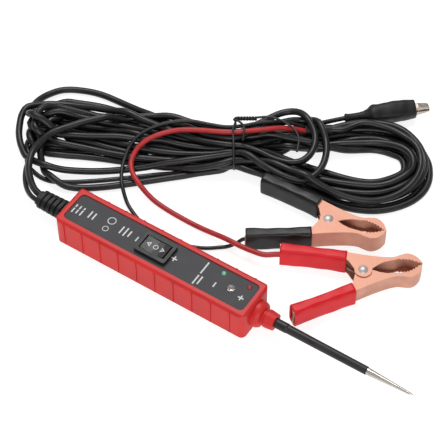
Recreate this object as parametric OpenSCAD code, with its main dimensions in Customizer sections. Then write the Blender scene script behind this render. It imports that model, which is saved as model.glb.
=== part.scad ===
// Powered circuit probe: a hand-held automotive test light with a rocker switch,
// a steel probe, a long twin cable tied in a hank, two battery clips and a ground clip.
// Units are millimetres. +X runs from the cable end to the probe tip, +Z is up.
// The origin is on the surface, under the middle of the handle and probe.

/* [Handle] */
// Length of the handle's case
handle_l = 130; // [120:1:140]
// Width of the case
handle_w = 28; // [27:0.5:32]
// Height of the case's rim
handle_h = 20.6; // [20:0.2:24]
// Wall thickness of the case
wall = 2; // [1.8:0.1:2.2]
// Number of ridges on each side
ridge_count = 10; // [4:1:14]

/* [Probe] */
// Length of the black sleeve that shows
sleeve_l = 58.7; // [40:0.1:70]
// Length of the bare metal tip
tip_l = 28.9; // [20:0.1:40]
// Largest diameter of the tip
tip_d = 4.3; // [3.8:0.1:4.6]

/* [Cords] */
// Diameter of the twin power cable
power_d = 4.3; // [3.6:0.1:4.3]
// Diameter of the ground lead
ground_d = 3; // [2.4:0.1:3]
// Diameter of the red battery lead
red_d = 3.2; // [2.4:0.1:3.2]
// Diameter of the black battery lead
black_d = 2.4; // [2:0.1:2.8]
// Height of the hank at its tie
hank_h = 18; // [16:0.5:20]

/* [Battery clips] */
// Height of the copper arms across their channel
clip_h = 12.6; // [12:0.1:13]
// Thickness of the copper sheet
sheet_t = 0.8; // [0.6:0.1:1]
// Direction of the red clip's jaws, in degrees from +X
red_turn = 40.6; // [36:0.1:44]
// Direction of the black clip's jaws, in degrees from +X
black_turn = 18.5; // [16:0.1:21]

/* [Hidden] */
$fn = 48;

// ---- handle: the whole row from the relief's end to the tip is centred on x = 0
relief_l = 21.5;
boss_l = 5;
collar_l = 7.5;
overall_l = relief_l + handle_l + boss_l + collar_l + sleeve_l + tip_l;
tail_x = relief_l - overall_l / 2;
nose_x = tail_x + handle_l;
collar_x = nose_x + boss_l;
sleeve_x = collar_x + collar_l;
tip_x = sleeve_x + sleeve_l;
axis_z = 10.3;
corner_r = 4.5;
rim_r = 2;
rim_w = 3.7;
recess_d = 1.3;
label_t = 0.5;
ceiling_z = handle_h - recess_d - wall;
label_z = handle_h - recess_d;
cover_t = 2;
fit = 0.1;

// ---- switch
switch_x = tail_x + 62;
bezel = [21, 15];
switch_body = [19, 13];
bezel_h = 2.5;
rocker = [15.2, 9.6];
rocker_well = [17, 10.2];
pivot_z = 17.2;
pin_r = 0.8;
pin_slack = 0.01;
running = 0.05;

// ---- lights
led_r = 1.5;
lamp_r = 2.5;
negative_at = [tail_x + 103.6, 6.9];
positive_at = [tail_x + 120.9, 6.6];
lamp_at = [tail_x + 112.7, 0];
led_base_z = ceiling_z - 1;

// ---- inside
board_x = [tail_x + 24, nose_x - 7.8];
board_w = 22;
board_z = 8;
board_t = 1.6;
socket_l = 9;
socket_r = 3.9;
rod_r = 1.7;
board_top = board_z + board_t;
post_x = [tail_x + 16, nose_x - 5.4];
post_y = 9.2;
post_r = 2.4;
screw_r = 1;
screw_head_r = 1.95;
clamp_x = tail_x + 6.5;
clamp_y = 7.6;
power_y = 1.9;
ground_y = -2.35;
core_x = tail_x + 9.5;

// ---- battery clips, in each clip's own plan: pivot at 0, jaws along +x
clip_z = 7.1;
red_at = [61.4, 56.2];
black_at = [26, 77];
rivet_r = 2;
ear_r = 5;
handle_slope = 16.2;
handle_root = [-7, 13.5];
arm_end = -44;
sleeve_from = -8;
sleeve_to = -43;
channel_d = 4.6;
lead_drop = (channel_d / 2 + 0.4) / cos(handle_slope);
crimp_l = 5;
crimp_t = 0.25;
crimp_from = 22;
inner_h = clip_h - 2 * sheet_t - 0.2;
lead_ends = [sleeve_to - 0.6, sleeve_to + 16];
vinyl = [6.4, 14.2];
vinyl_r = 2.6;
tip_gap = 0.25;
jaw_back = [[3, 10], [13, 7.2], [19, 6.5], [22.5, 7.3], [26.4, 8], [29.6, 6.9], [32.4, 4.2]];
jaw_tip = [34.4, tip_gap];
throat = [[18.5, 4.2], [13, 3.7], [9, 2.3]];
throat_start = [5.6, 0.4];
tooth_count = 6;
tooth_h = 0.9;
tooth_from = [22, 4.9];
tooth_to = [32.8, 0.9];
spring_wire = 1.3;
spring_r = 3.4;

// ---- ground clip: pivot at 0, jaws along +x
ground_at = [111, 33.4];
ground_z = 6.5;
ground_turn = 10;
boot_mouth = 1;
boot_l = 44;
jaw_l = 10;

// ---- hank: its own plan has the tie at 0 and u along the bundle
hank_at = [-51.8, 95.5];
hank_turn = 33;
lobe_h = 12;
tie_r = 0.6;

// Free routes, in the hank's plan, from the exit to the far end
power_route = [[-118, -32, 10], [-120.5, -25, 9.5], [-122, -18, 9], [-122, -11, 9], [-121, -5, 9.5]];
ground_route = [[-120, -36, 8.5], [-122.5, -30, 7], [-124, -23.5, 6], [-124.5, -17, 5.5],
                [-124, -11, 5], [-122, -5, 3.5]];
ground_end_route = [[46, 19, 8.5], [52, 21, 7], [58, 23, 6.5], [63.5, 24.5, 6.5]];
red_route = [[44, 11.6, 10.8], [36, 10.3, 14.5], [28, 8.3, 17.3], [20, 6.5, 18.3], [10, 4.6, 19],
    [0, 3.4, 19.2], [-10, 4, 19.1], [-20, 5.5, 18.6], [-30, 6.5, 17.8], [-38, 6, 16.8], [-46, 4, 15.5],
    [-53, 1, 13.5],
    [-58, -3.5, 11], [-61, -10, 8.5], [-60.5, -17, 7.3], [-57.5, -23.5, 6.5], [-53, -29.5, 4.5],
    [-47.5, -35, 2.4], [-41, -40.5, 1.7], [-33, -46.5, 1.6], [-25, -52, 1.6], [-17, -57.5, 2.4],
    [-9.5, -63, 4.4], [-3, -68, 6.2], [4, -73, 6.9], [11, -76.8, 7.1], [18, -79.5, 7.1]];
black_route = [[44, 15, 10.8], [35, 15.2, 14], [26, 13.8, 16.8], [16, 12, 17.8], [6, 9.5, 18],
    [-4, 8.5, 18.1], [-14, 10.5, 18], [-24, 13, 18], [-33, 13.5, 17.5], [-42, 12.4, 16.5], [-50, 9.8, 15],
    [-57, 5.5, 13.3], [-62, -0.5, 11], [-65, -8, 8.7], [-66.5, -16, 7.2], [-66.5, -24, 6.4],
    [-65, -31, 4.4], [-62.5, -38, 2], [-58.5, -45, 1.3], [-53.5, -52, 1.2], [-47.5, -58, 1.2],
    [-40, -63, 1.2], [-32, -67, 1.2], [-24, -69.3, 1.2], [-16, -70.3, 1.2], [-9, -69.9, 1.3],
    [-3.5, -69.3, 1.5], [1.8, -68.4, 3.4]];
tie_tail = [[38, -10, 17], [39.3, -3, 17.5], [39, 1.5, 17.9], [37, 6, 18.4], [33, 10, 19], [28, 13, 19.6],
    [22, 15, 20], [15, 15.5, 20.2], [7, 14, 20.4]];
tie_centre = [-0.5, 11.2];
tie_size = [16.2, 10.6];
splitter_at = [52, 13, 10.2];
splitter_l = 16;
splitter_d = 6.6;

// ---------------------------------------------------------------- helpers
function unit(v) = v / norm(v);
function turn2(p, a) = [p[0] * cos(a) - p[1] * sin(a), p[0] * sin(a) + p[1] * cos(a)];
function from_hank(p) = let(q = turn2(p, hank_turn)) [hank_at[0] + q[0], hank_at[1] + q[1], p[2]];
function from_clip(at, a, p) = let(q = turn2(p, a)) [at[0] + q[0], at[1] + q[1], p[2]];
function on_boot(x) = [ground_at[0] + x * cos(ground_turn), ground_at[1] + x * sin(ground_turn), ground_z];
function dirs(p) = [for (i = [0 : len(p) - 1])
    unit(p[min(i + 1, len(p) - 1)] - p[max(i - 1, 0)])];

// A round tube swept along points; its rings stay level with the surface
module tube(p, d, sides = 8) {
    t = dirs(p);
    n = len(p);
    rings = [for (i = [0 : n - 1])
        let(a = unit(cross(t[i], [0, 0, 1])), b = cross(a, t[i]))
        for (k = [0 : sides - 1]) p[i] + d / 2 * (a * cos(360 * k / sides) + b * sin(360 * k / sides))];
    walls = [for (i = [0 : n - 2]) for (k = [0 : sides - 1])
        [i * sides + k, i * sides + (k + 1) % sides, (i + 1) * sides + (k + 1) % sides, (i + 1) * sides + k]];
    polyhedron(rings, concat([[for (k = [sides - 1 : -1 : 0]) k]], walls,
        [[for (k = [0 : sides - 1]) (n - 1) * sides + k]]));
}

// A curve through points, with steps pieces between each two
function curve(p, steps) = [for (i = [0 : len(p) - 2]) for (k = [0 : steps - 1])
    let(a = p[max(i - 1, 0)], b = p[i], c = p[i + 1], d = p[min(i + 2, len(p) - 1)], t = k / steps)
    0.5 * (2 * b + (c - a) * t + (2 * a - 5 * b + 4 * c - d) * pow(t, 2)
        + (3 * b - a - 3 * c + d) * pow(t, 3)), p[len(p) - 1]];

module box_between(x, y, z) {
    translate([x[0], y[0], z[0]]) cube([x[1] - x[0], y[1] - y[0], z[1] - z[0]]);
}

module rounded_box(size, r, z) {
    translate([0, 0, z[0]]) linear_extrude(z[1] - z[0])
        offset(r) square([size[0] - 2 * r, size[1] - 2 * r], center = true);
}

// A revolved outline of [x, r] points about the probe's line
module turned(outline) {
    translate([0, 0, axis_z]) rotate([0, 90, 0]) rotate_extrude()
        polygon([for (p = outline) [p[1], p[0]]]);
}

module on_hank() {
    translate([hank_at[0], hank_at[1], 0]) rotate([0, 0, hank_turn]) children();
}

module on_red_clip() {
    translate([red_at[0], red_at[1], clip_z]) rotate([0, 0, red_turn]) children();
}

module on_black_clip() {
    translate([black_at[0], black_at[1], clip_z]) rotate([0, 0, black_turn]) children();
}

module on_ground_clip() {
    on_hank() translate([ground_at[0], ground_at[1], ground_z]) rotate([0, 0, ground_turn]) children();
}

// ---------------------------------------------------------------- handle
module case_block() {
    mid = tail_x + handle_l / 2;
    intersection() {
        translate([mid, 0, 0]) rounded_box([handle_l, handle_w], corner_r, [0, handle_h]);
        translate([tail_x, 0, 0]) rotate([90, 0, 90]) linear_extrude(handle_l) hull() {
            for (s = [-1, 1]) {
                translate([s * (handle_w / 2 - rim_r), handle_h - rim_r]) circle(rim_r);
                translate([s * (handle_w / 2 - 1), 1]) circle(1);
            }
        }
        translate([0, handle_w / 2, 0]) rotate([90, 0, 0]) linear_extrude(handle_w) hull() {
            for (x = [tail_x, nose_x - 2 * rim_r]) {
                translate([x + rim_r, handle_h - rim_r]) circle(rim_r);
            }
            for (x = [tail_x, nose_x - 2]) {
                translate([x + 1, 1]) circle(1);
            }
        }
    }
}

module side_ridges() {
    from_tail = 7;
    pitch = 12.6;
    ridge_w = 0.8;
    low = 1.5;
    face = handle_w / 2;
    for (s = [0, 1]) for (i = [0 : ridge_count - 1])
        translate([tail_x + from_tail + i * pitch - ridge_w / 2, 0, 0]) mirror([0, s, 0]) rotate([90, 0, 90])
            linear_extrude(ridge_w) polygon([[face - 1, low], [face + 0.5, low], [face + 0.5, handle_h - rim_r],
                [face + 0.1, handle_h - 1.1], [face - 0.5, handle_h - 0.7], [face - 1, handle_h - 0.7]]);
}

module nose_boss() {
    turned([[nose_x - 1, 0], [nose_x - 1, 8], [nose_x + 2.6, 8], [nose_x + 4.4, 7.1], [collar_x, 5.6],
        [collar_x, 0]]);
}

module upper_case() color("firebrick") difference() {
    union() {
        case_block();
        side_ridges();
        nose_boss();
    }
    difference() {
        translate([tail_x + handle_l / 2, 0, 0])
            rounded_box([handle_l - 2 * wall, handle_w - 2 * wall], corner_r - wall, [-1, ceiling_z]);
        for (x = post_x) for (s = [-1, 1]) translate([x, s * post_y, cover_t + fit]) cylinder(h = 20, r = post_r);
        for (s = [-1, 1]) translate([clamp_x, s * clamp_y, 8.3]) cylinder(h = 12, r = 2.1);
    }
    translate([tail_x + handle_l / 2, 0, 0])
        rounded_box([handle_l - 2 * rim_w + 0.2, handle_w - 2 * rim_w], 3, [label_z, handle_h + 1]);
    translate([switch_x, 0, 0])
        box_between([-9.6, 9.6], [-6.6, 6.6], [ceiling_z - 1, handle_h]);
    for (p = [negative_at, positive_at]) translate([p[0], p[1], 0]) cylinder(h = 30, r = led_r + running);
    translate([lamp_at[0], lamp_at[1], 0]) cylinder(h = 30, r = lamp_r + running);
    for (x = post_x) for (s = [-1, 1]) translate([x, s * post_y, 1])
        cylinder(h = 10.5, r = screw_r + running);
    for (s = [-1, 1]) translate([clamp_x, s * clamp_y, 8]) cylinder(h = 8, r = 0.9);
    translate([nose_x - 10, 0, axis_z]) rotate([0, 90, 0]) cylinder(h = 20, r = socket_r + fit);
    translate([tail_x - 1, -5.6, axis_z - 4.1]) cube([wall + 2, 11.2, 8.2]);
}

module bottom_cover() color("firebrick") difference() {
    translate([tail_x + handle_l / 2, 0, 0])
        rounded_box([handle_l - 2 * wall - 2 * fit, handle_w - 2 * wall - 2 * fit], corner_r - wall - fit,
            [0, cover_t]);
    for (x = post_x) for (s = [-1, 1]) translate([x, s * post_y, 0]) {
        translate([0, 0, -1]) cylinder(h = 5, r = screw_r + 0.2);
        translate([0, 0, -1]) cylinder(h = 2.1, r = screw_head_r + 0.15);
    }
}

module case_screws() color("silver")
    for (x = post_x) for (s = [-1, 1]) translate([x, s * post_y, 0]) difference() {
        union() {
            translate([0, 0, 0.2]) cylinder(h = 0.9, r = screw_head_r);
            translate([0, 0, 0.2]) cylinder(h = 10, r = screw_r);
        }
        translate([0, 0, 0.4]) cube([2.6, 0.5, 0.9], center = true);
        translate([0, 0, 0.4]) cube([0.5, 2.6, 0.9], center = true);
    }

module face_label() color("dimgray") difference() {
    translate([tail_x + handle_l / 2, 0, 0])
        rounded_box([handle_l - 2 * rim_w, handle_w - 2 * rim_w - 0.2], 2.9, [label_z, label_z + label_t]);
    translate([switch_x, 0, 0]) box_between([-9.6, 9.6], [-6.6, 6.6], [label_z - 1, handle_h]);
    for (p = [negative_at, positive_at]) translate([p[0], p[1], 0]) cylinder(h = 30, r = led_r + running);
    translate([lamp_at[0], lamp_at[1], 0]) cylinder(h = 30, r = lamp_r + running);
}

module switch_housing() color("black") translate([switch_x, 0, 0]) difference() {
    top_z = label_z + label_t + bezel_h;
    union() {
        rounded_box(bezel, 1.2, [label_z + label_t, top_z]);
        box_between([-switch_body[0] / 2, switch_body[0] / 2], [-switch_body[1] / 2, switch_body[1] / 2],
            [10.6, label_z + label_t + 0.5]);
    }
    box_between([-rocker_well[0] / 2, rocker_well[0] / 2], [-rocker_well[1] / 2, rocker_well[1] / 2],
        [12.4, top_z + 1]);
    translate([0, 0, pivot_z]) rotate([90, 0, 0]) cylinder(h = 11.9, r = pin_r, center = true);
}

module rocker_button() color([0.12, 0.12, 0.12]) translate([switch_x, 0, 0]) difference() {
    rotate([90, 0, 0]) linear_extrude(rocker[1], center = true)
        polygon([[-rocker[0] / 2, 22.4], [-rocker[0] / 4, 21.9], [0, 21.7], [rocker[0] / 4, 21.9],
            [rocker[0] / 2, 22.4], [rocker[0] / 2 - 0.4, 17.5], [3, 14.4], [-3, 14.4],
            [-rocker[0] / 2 + 0.4, 17.5]]);
    translate([0, 0, pivot_z]) rotate([90, 0, 0]) cylinder(h = 12, r = pin_r + running, center = true);
}

module rocker_pin() color("silver")
    translate([switch_x, 0, pivot_z]) rotate([90, 0, 0]) cylinder(h = 11.8, r = pin_r - pin_slack, center = true);

module switch_terminals() color("gold") translate([switch_x, 0, 0])
    for (x = [-7, 0, 7]) box_between([x - 0.4, x + 0.4], [-2, 2], [board_top, 10.55]);

module circuit_board() color("darkgreen") difference() {
    box_between(board_x, [-board_w / 2, board_w / 2], [board_z, board_top]);
    for (x = board_x) for (s = [-1, 1]) translate([x, s * board_w / 2, 0]) cylinder(h = 20, r = 2.6);
    box_between([nose_x - socket_l - 0.3, nose_x], [-socket_r - 0.2, socket_r + 0.2], [0, 20]);
}

module led_shape(r, base_h, body_top) {
    cylinder(h = base_h, r = r + 0.4);
    cylinder(h = body_top, r = r);
    translate([0, 0, body_top]) intersection() {
        sphere(r);
        cylinder(h = r + 1, r = r);
    }
}

module negative_led() color("limegreen") translate([negative_at[0], negative_at[1], led_base_z])
    led_shape(led_r, 0.9, 3.2);

module positive_led() color("red") translate([positive_at[0], positive_at[1], led_base_z])
    led_shape(led_r, 0.9, 3.2);

module lamp() color([0.9, 0.9, 0.9, 0.6]) translate([lamp_at[0], lamp_at[1], led_base_z])
    led_shape(lamp_r, 0.9, 3.6);

module led_legs() color("silver")
    for (p = [negative_at, positive_at, lamp_at]) for (s = [-1, 1])
        translate([p[0] + s * 0.8, p[1], board_top]) cylinder(h = led_base_z - board_top, r = 0.25);

module buzzer() color([0.15, 0.15, 0.15]) translate([tail_x + 40, 0, board_top]) difference() {
    cylinder(h = 6.6, r = 6);
    translate([0, 0, 5]) cylinder(h = 3, r = 1);
}

module circuit_breaker() color("orange") translate([tail_x + 82, 0, board_top + 3.2])
    cube([14, 12, 6.4], center = true);

module power_transistors() color([0.2, 0.2, 0.2])
    for (s = [-1, 1]) translate([tail_x + 96, s * 6, board_top + 1.6]) {
        cube([7, 5, 3.2], center = true);
        translate([-4.5, 0, -1]) cube([3, 5, 1.2], center = true);
    }

module small_components() color("tan") {
    for (i = [0 : 3]) translate([tail_x + 28 + 1.2, -9 + i * 3.2, board_top + 0.9]) rotate([0, 90, 0])
        cylinder(h = 3.6, r = 0.9, center = true);
    translate([tail_x + 29, 7.5, board_top]) cylinder(h = 6, r = 2.4);
    for (y = [-8.6, 8.6]) translate([tail_x + 54, y, board_top + 0.6]) cube([3.2, 1.6, 1.2], center = true);
}

// ---------------------------------------------------------------- probe
module probe_socket() color("goldenrod") difference() {
    turned([[nose_x - socket_l, 0], [nose_x - socket_l, socket_r], [collar_x + 0.6, socket_r],
        [collar_x + 0.6, 0]]);
    turned([[nose_x - 12, 0], [nose_x - 12, rod_r + 0.02], [collar_x + 3, rod_r + 0.02], [collar_x + 3, 0]]);
}

module probe_collar() color("firebrick") difference() {
    turned([[collar_x, 0], [collar_x, 4.9], [collar_x + 1.2, 4.9], [collar_x + 1.8, 5.5],
        [collar_x + 3, 5.5], [sleeve_x, 5], [sleeve_x, 0]]);
    turned([[collar_x - 1, 0], [collar_x - 1, socket_r + running], [collar_x + 1, socket_r + running],
        [collar_x + 1, 2.95],
        [sleeve_x + 1, 2.95], [sleeve_x + 1, 0]]);
}

module probe_rod() color("silver") turned([[nose_x - socket_l, 0], [nose_x - socket_l, rod_r], [tip_x, rod_r],
    [tip_x, tip_d / 2], [tip_x + 1, tip_d / 2], [overall_l / 2 - 2.5, 0.8], [overall_l / 2, 0.1],
    [overall_l / 2, 0]]);

module probe_sleeve() color([0.12, 0.12, 0.12]) difference() {
    turned([[collar_x + 1.1, 0], [collar_x + 1.1, 2.9], [sleeve_x + 7, 2.9], [sleeve_x + 8.2, 2.65],
        [tip_x - 0.4, 2.45], [tip_x - 0.02, 2.25], [tip_x - 0.02, 0]]);
    turned([[collar_x, 0], [collar_x, rod_r + 0.02], [tip_x + 1, rod_r + 0.02], [tip_x + 1, 0]]);
}

// ---------------------------------------------------------------- strain relief and clamp
module oval(w, h) {
    hull() for (s = [-1, 1]) translate([0, s * (w - h) / 2]) circle(h / 2, $fn = 24);
}

module relief_disc(x, l, w, h) {
    translate([x, 0, axis_z]) rotate([0, 90, 0]) linear_extrude(l) oval(w, h);
}

module strain_relief() color([0.12, 0.12, 0.12]) {
    ribs = 5;
    pitch = 3.4;
    difference() {
        union() {
            relief_disc(tail_x - relief_l, relief_l + wall + 1.5, 9.4, 6.2);
            relief_disc(tail_x + wall + 0.05, 1.2, 13, 9.6);
            relief_disc(tail_x - 0.5, wall + 0.8, 11, 8);
            relief_disc(tail_x - 2.5, 2.3, 13.4, 9.8);
            for (i = [0 : ribs - 1])
                relief_disc(tail_x - 5.6 - i * pitch, 1.9, 12.9 - 0.2 * i, 9.4 - 0.2 * i);
        }
        translate([tail_x - relief_l - 1, power_y, axis_z]) rotate([0, 90, 0])
            cylinder(h = 40, r = power_d / 2 + running);
        translate([tail_x - relief_l - 1, ground_y, axis_z]) rotate([0, 90, 0])
            cylinder(h = 40, r = ground_d / 2 + running);
    }
}

module cable_clamp() color("black") difference() {
    box_between([clamp_x - 2.5, clamp_x + 2.5], [-10, 10], [5.7, 8.05]);
    for (s = [-1, 1]) translate([clamp_x, s * clamp_y, 4]) cylinder(h = 6, r = 1.1);
}

module clamp_screws() color("silver")
    for (s = [-1, 1]) translate([clamp_x, s * clamp_y, 0]) {
        translate([0, 0, 4.6]) cylinder(h = 1.05, r = 1.8);
        translate([0, 0, 4.6]) cylinder(h = 10, r = 0.88);
    }

module internal_wires() color("red") {
    pad_z = board_top + 0.6;
    pad_x = board_x[0] + 2.6;
    for (w = [[power_y + 0.95, 8], [power_y - 0.95, 3], [ground_y, -3]])
        tube(curve([[core_x, w[0], axis_z], [core_x + 4, w[0], axis_z + 0.4],
            [pad_x - 4, w[1], axis_z + 0.6], [pad_x - 1, w[1] * 0.98, pad_z]], 2), 1.1);
    tube(curve([[nose_x - 14.5, -4, pad_z], [nose_x - 12, -3.5, axis_z + 0.8],
        [nose_x - 9.1, -2.6, axis_z + 0.6]], 2), 1.1);
}

// ---------------------------------------------------------------- battery clips
function handle_y(x) = handle_root[1] + (handle_root[0] - x) * tan(handle_slope);
function arm_back() = concat([[arm_end, handle_y(arm_end)]], curve(concat([handle_root], jaw_back, [jaw_tip]), 3));
function teeth() = [for (i = [2 * tooth_count : -1 : 0])
    let(t = i / (2 * tooth_count), up = i % 2 == 0 ? 0 : -tooth_h)
    tooth_from + (tooth_to - tooth_from) * t + [0, 0.9 * sin(180 * t) + up]];

// The flange of one arm, with a round ear about the pivot
module arm_plan() {
    ear = [for (a = [-6 : -12 : -198]) ear_r * [cos(a), sin(a)]];
    polygon(concat(arm_back(), [[tooth_to[0], tip_gap]], teeth(), throat, [throat_start], ear, [[-5.6, 3.4],
        [-7, 7], [-9, handle_y(-9) - channel_d], [arm_end, handle_y(arm_end) - channel_d]]));
}

module arm_hollow(t) {
    reach = 12;
    offset(delta = -t) polygon(concat([[arm_end - reach, handle_y(arm_end - reach)]], arm_back(),
        [[jaw_tip[0], -reach], [arm_end - reach, -reach]]));
}

module clip_arm(h) difference() {
    linear_extrude(h, center = true) arm_plan();
    linear_extrude(h - 2 * sheet_t, center = true) arm_hollow(sheet_t);
    cylinder(h = 2 * h, r = rivet_r + running, center = true);
}

// Runs along one handle, from the jaw end outwards, centred in the sleeve
module along_handle(d) {
    translate([sleeve_from, handle_y(sleeve_from) - d, 0]) rotate([0, 0, 180 - handle_slope]) rotate([90, 0, 90])
        children();
}

module vinyl_sleeve(h) {
    l = (sleeve_from - sleeve_to) / cos(handle_slope);
    d = channel_d / cos(handle_slope) / 2;
    along_handle(d) difference() {
        linear_extrude(l) offset(vinyl_r)
            square([vinyl[0] - 2 * vinyl_r, vinyl[1] - 2 * vinyl_r], center = true);
        translate([0, 0, -1]) linear_extrude(l + 2) square([channel_d + 0.1, h + 0.06], center = true);
    }
}

module clip_rivet() {
    half = clip_h / 2;
    cylinder(h = clip_h + 0.4, r = rivet_r, center = true);
    translate([0, 0, -half - 0.6]) cylinder(h = 0.6, r = 2.9);
    translate([0, 0, half]) intersection() {
        translate([0, 0, -2.6]) sphere(3.9);
        cylinder(h = 3, r = 3.5);
    }
}

// A torsion spring about the rivet with one leg in each handle
module clip_spring() {
    turns = 5;
    steps = 76;
    pitch = spring_wire + 0.12;
    leg = [-18, 13.3];
    bend = [-7.4, 9.9];
    start = 100;
    total = turns * 360 + 160;
    half = pitch * total / 360 / 2;
    coil = [for (i = [0 : steps])
        let(a = start + total * i / steps, z = -half + 2 * half * i / steps)
        [spring_r * cos(a), spring_r * sin(a), z]];
    tube(concat([[leg[0], leg[1], -half], [bend[0], bend[1], -half]], coil,
        [[bend[0], -bend[1], half], [leg[0], -leg[1], half]]), spring_wire);
}

module wire_crimp(d) {
    along_handle(lead_drop) translate([0, 0, crimp_from]) difference() {
        cylinder(h = crimp_l, r = d / 2 + crimp_t);
        translate([0, 0, -1]) cylinder(h = crimp_l + 2, r = d / 2 + 0.02);
    }
}

copper = [0.85, 0.55, 0.42];
module red_fixed_arm() color(copper) on_red_clip() clip_arm(clip_h);
module red_moving_arm() color(copper) on_red_clip() mirror([0, 1, 0]) clip_arm(inner_h);
module red_rivet() color("silver") on_red_clip() clip_rivet();
module red_spring() color("silver") on_red_clip() clip_spring();
module red_fixed_sleeve() color("red") on_red_clip() vinyl_sleeve(clip_h);
module red_moving_sleeve() color("red") on_red_clip() mirror([0, 1, 0]) vinyl_sleeve(inner_h);
module red_crimp() color(copper) on_red_clip() wire_crimp(red_d);
module black_fixed_arm() color(copper) on_black_clip() mirror([0, 1, 0]) clip_arm(clip_h);
module black_moving_arm() color(copper) on_black_clip() clip_arm(inner_h);
module black_rivet() color("silver") on_black_clip() clip_rivet();
module black_spring() color("silver") on_black_clip() clip_spring();
module black_fixed_sleeve() color([0.1, 0.1, 0.1]) on_black_clip() mirror([0, 1, 0]) vinyl_sleeve(clip_h);
module black_moving_sleeve() color([0.1, 0.1, 0.1]) on_black_clip() vinyl_sleeve(inner_h);
module black_crimp() color(copper) on_black_clip() mirror([0, 1, 0]) wire_crimp(black_d);

// ---------------------------------------------------------------- ground clip
module ground_jaw(w) {
    t = 0.5;
    teeth_n = 5;
    difference() {
        rotate([90, 0, 0]) linear_extrude(w, center = true) polygon(concat(
            [[-17, 3.9], [-9, 3.4], [-3, 2.7], [0, 2.9], [3, 3], [jaw_l - 1.5, 1.9], [jaw_l, 1], [jaw_l, 0.15]],
            [for (i = [1 : 2 * teeth_n]) [jaw_l - 0.1 - i * 0.7, i % 2 == 0 ? 0.15 : 0.75]],
            [[2, 0.8], [1, -1.1], [-1, -1.1], [-2.4, 0.6], [-9, 1.8], [-17, 2.6]]));
        rotate([90, 0, 0]) linear_extrude(w - 2 * t, center = true) polygon([[-20, 3.7], [-9, 2.9], [-3, 2.2],
            [3, 2.4], [jaw_l - 1.5, 1.3], [jaw_l - 1.5, -3], [-20, -3]]);
        rotate([90, 0, 0]) cylinder(h = 10, r = 0.65, center = true);
    }
}

module ground_fixed_jaw() color("silver") on_ground_clip() mirror([0, 0, 1]) ground_jaw(5);
module ground_moving_jaw() color("silver") on_ground_clip() ground_jaw(3.8);

module ground_pin() color("silver") on_ground_clip() rotate([90, 0, 0]) {
    cylinder(h = 5.4, r = 0.6, center = true);
    for (s = [-1, 1]) translate([0, 0, s * 2.75]) cylinder(h = 0.4, r = 1.1, center = true);
}

module ground_spring() color("silver") on_ground_clip() {
    turns = 3;
    per_turn = 10;
    coil = [for (i = [0 : turns * per_turn])
        let(a = 180 + 360 * i / per_turn, y = -0.9 + 1.8 * i / (turns * per_turn))
        [1.15 * cos(a), 1.15 * sin(a), y]];
    rotate([90, 0, 0]) tube(concat([[-9, -1.5, -0.9]], coil, [[-9, 1.5, 0.9]]), 0.45, 6);
}

module ground_boot() color([0.1, 0.1, 0.1]) on_ground_clip() rotate([0, 90, 0]) rotate_extrude()
    polygon([[1.55, boot_mouth - boot_l], [2.7, boot_mouth - boot_l], [3, boot_mouth - boot_l + 1],
        [3.1, boot_mouth - boot_l + 10], [5.6, boot_mouth - boot_l + 17], [6.3, boot_mouth - boot_l + 21],
        [6.3, boot_mouth - 8], [5.5, boot_mouth - 0.3], [5.2, boot_mouth], [4.5, boot_mouth],
        [5.3, boot_mouth - 8], [5.3, boot_mouth - boot_l + 21], [2.2, boot_mouth - boot_l + 12],
        [1.55, boot_mouth - boot_l + 11]]);

// ---------------------------------------------------------------- cords
module power_cable() color([0.1, 0.1, 0.1])
    tube(concat([[core_x, power_y, axis_z], [tail_x - relief_l - 0.5, power_y, axis_z]],
        [for (p = power_route) from_hank(p)]), power_d - 0.05);

module ground_lead() color([0.1, 0.1, 0.1])
    tube(concat([[core_x, ground_y, axis_z], [tail_x - relief_l - 0.5, ground_y, axis_z]],
        [for (p = ground_route) from_hank(p)]), ground_d - 0.05);

module ground_lead_end() color([0.1, 0.1, 0.1])
    tube([for (p = concat(ground_end_route, [for (x = [-0.5, 9]) on_boot(boot_mouth - boot_l + x)]))
        from_hank(p)], ground_d - 0.05);

module lobe(circles) {
    hull() for (c = circles) translate([c[0], c[1]]) circle(c[2]);
}

module cable_hank() color([0.08, 0.08, 0.08]) on_hank() {
    linear_extrude(lobe_h) union() {
        lobe([[-104, 30, 26], [-112, 8, 20], [-75, 20, 24]]);
        lobe([[-112, 0, 16], [-92, -10, 21], [-60, -4, 20]]);
        lobe([[-75, 20, 24], [-50, 12, 23], [0, 0, 16]]);
        lobe([[-60, -4, 20], [0, 0, 16]]);
        lobe([[0, 0, 16], [44, 4, 22], [44, -7, 22]]);
        lobe([[44, -4, 25], [92, -4, 25], [84, -19, 24], [99, -15, 20]]);
    }
    linear_extrude(hank_h) lobe([[-34, 4, 12], [-34, 0, 12], [0, 0, 14], [34, 2, 12], [34, 6, 12]]);
}

module red_lead() color("red") {
    ends = [for (x = lead_ends) from_clip(red_at, red_turn, [x, handle_y(x) - lead_drop, clip_z])];
    tube(concat([for (p = red_route) from_hank(p)], ends), red_d - 0.05);
}

module black_lead() color([0.1, 0.1, 0.1]) {
    ends = [for (x = lead_ends) from_clip(black_at, black_turn, [x, lead_drop - handle_y(x), clip_z])];
    tube(concat([for (p = black_route) from_hank(p)], ends), black_d - 0.05);
}

module cable_splitter() color([0.1, 0.1, 0.1]) on_hank()
    translate([splitter_at[0] - splitter_l / 2, splitter_at[1], splitter_at[2]]) rotate([0, 90, 0]) {
        cylinder(h = splitter_l, r = splitter_d / 2);
    }

module twist_tie() color([0.1, 0.1, 0.1]) {
    steps = 28;
    lap = 1.6;
    ring = [for (i = [0 : steps]) let(a = 75 + 350 * i / steps)
        [lap * i / steps, tie_centre[0] + tie_size[0] * cos(a), tie_centre[1] + tie_size[1] * sin(a)]];
    tube([for (p = concat(tie_tail, ring)) from_hank(p)], 2 * tie_r, 6);
}

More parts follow.
